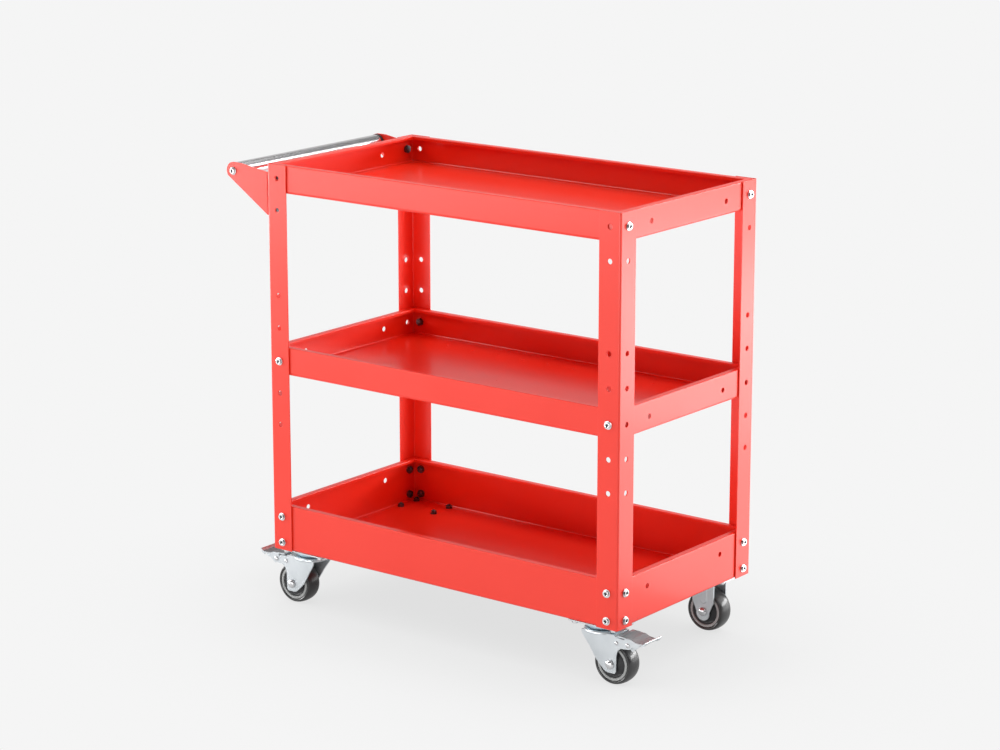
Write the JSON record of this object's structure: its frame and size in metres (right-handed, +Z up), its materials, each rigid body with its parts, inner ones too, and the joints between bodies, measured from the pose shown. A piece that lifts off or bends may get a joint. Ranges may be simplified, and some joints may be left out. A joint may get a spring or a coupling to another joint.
{
  "type": "tool cart",
  "caption": "Rolling steel tool cart: stacked open trays bolted between slotted-hole angle posts, a tube handle at one end, and casters that swivel, roll and brake.",
  "frame": {"origin": "on the floor plane under the centre of the overall box", "axes": "+X along the long side, away from the handle, +Y from the swivel-caster side to the fixed-caster side, +Z up"},
  "size_m": [0.888, 0.4008, 0.793],
  "materials": {
    "red_paint": "smooth semi-gloss red powder coat",
    "chrome": "polished tube",
    "zinc": "bright zinc plate with a faint blue tint",
    "bolt_steel": "bright zinc plate",
    "black_tyre": "smooth black polyurethane tread",
    "grey_core": "plain light grey plastic"
  },
  "bodies": {
    "cart": {"bolt_bottom_back_left_end_lower": "bolt_steel", "bolt_bottom_back_left_end_upper": "bolt_steel", "bolt_bottom_back_left_long_lower": "bolt_steel", "bolt_bottom_back_left_long_upper": "bolt_steel", "bolt_bottom_back_right_end_lower": "bolt_steel", "bolt_bottom_back_right_end_upper": "bolt_steel", "bolt_bottom_back_right_long_lower": "bolt_steel", "bolt_bottom_back_right_long_upper": "bolt_steel", "bolt_bottom_front_left_end_lower": "bolt_steel", "bolt_bottom_front_left_end_upper": "bolt_steel", "bolt_bottom_front_left_long_lower": "bolt_steel", "bolt_bottom_front_left_long_upper": "bolt_steel", "bolt_bottom_front_right_end_lower": "bolt_steel", "bolt_bottom_front_right_end_upper": "bolt_steel", "bolt_bottom_front_right_long_lower": "bolt_steel", "bolt_bottom_front_right_long_upper": "bolt_steel", "bolt_bracket_back": "bolt_steel", "bolt_bracket_front": "bolt_steel", "bolt_middle_back_left": "bolt_steel", "bolt_middle_back_right": "bolt_steel", "bolt_middle_front_left": "bolt_steel", "bolt_middle_front_right": "bolt_steel", "bolt_top_back_left": "bolt_steel", "bolt_top_back_right": "bolt_steel", "bolt_top_front_left": "bolt_steel", "bolt_top_front_right": "bolt_steel", "caster_axle_back_left": "bolt_steel", "caster_axle_back_right": "bolt_steel", "caster_fork_back_left": "zinc", "caster_fork_back_right": "zinc", "caster_plate_front_left": "zinc", "caster_plate_front_right": "zinc", "handle_bolt_back": "bolt_steel", "handle_bolt_front": "bolt_steel", "handle_bracket_back": "red_paint", "handle_bracket_front": "red_paint", "handle_tube": "chrome", "post_back_left": "red_paint", "post_back_right": "red_paint", "post_front_left": "red_paint", "post_front_right": "red_paint", "tray_bottom": "red_paint", "tray_middle": "red_paint", "tray_top": "red_paint"},
    "swivel_front_left": {"caster_fork_front_left": "zinc", "caster_axle_front_left": "bolt_steel", "brake_pivot_front_left": "bolt_steel"},
    "pedal_front_left": {"brake_pedal_front_left": "zinc"},
    "swivel_front_right": {"caster_fork_front_right": "zinc", "caster_axle_front_right": "bolt_steel", "brake_pivot_front_right": "bolt_steel"},
    "pedal_front_right": {"brake_pedal_front_right": "zinc"},
    "wheel_front_left": {"wheel_tyre_front_left": "black_tyre", "wheel_core_front_left": "grey_core"},
    "wheel_front_right": {"wheel_tyre_front_right": "black_tyre", "wheel_core_front_right": "grey_core"},
    "wheel_back_left": {"wheel_tyre_back_left": "black_tyre", "wheel_core_back_left": "grey_core"},
    "wheel_back_right": {"wheel_tyre_back_right": "black_tyre", "wheel_core_back_right": "grey_core"}
  },
  "joints": [
    {"name": "swivel_front_left", "type": "hinge", "parent": "cart", "child": "swivel_front_left", "pos_m": [-0.293, -0.1586, 0.091], "axis": [0, 0, 1], "continuous": true},
    {"name": "swivel_front_right", "type": "hinge", "parent": "cart", "child": "swivel_front_right", "pos_m": [0.341, -0.1586, 0.091], "axis": [0, 0, 1], "continuous": true},
    {"name": "roll_front_left", "type": "hinge", "parent": "swivel_front_left", "child": "wheel_front_left", "pos_m": [-0.3235, -0.1586, 0.037], "axis": [0, 1, 0], "continuous": true},
    {"name": "roll_front_right", "type": "hinge", "parent": "swivel_front_right", "child": "wheel_front_right", "pos_m": [0.3715, -0.1586, 0.037], "axis": [0, 1, 0], "continuous": true},
    {"name": "roll_back_left", "type": "hinge", "parent": "cart", "child": "wheel_back_left", "pos_m": [-0.293, 0.1586, 0.037], "axis": [0, 1, 0], "continuous": true},
    {"name": "roll_back_right", "type": "hinge", "parent": "cart", "child": "wheel_back_right", "pos_m": [0.341, 0.1586, 0.037], "axis": [0, 1, 0], "continuous": true},
    {"name": "brake_front_left", "type": "hinge", "parent": "swivel_front_left", "child": "pedal_front_left", "pos_m": [-0.359, -0.1586, 0.077], "axis": [0, -1, 0], "range_deg": [0, 14]},
    {"name": "brake_front_right", "type": "hinge", "parent": "swivel_front_right", "child": "pedal_front_right", "pos_m": [0.407, -0.1586, 0.077], "axis": [0, 1, 0], "range_deg": [0, 14]}
  ]
}
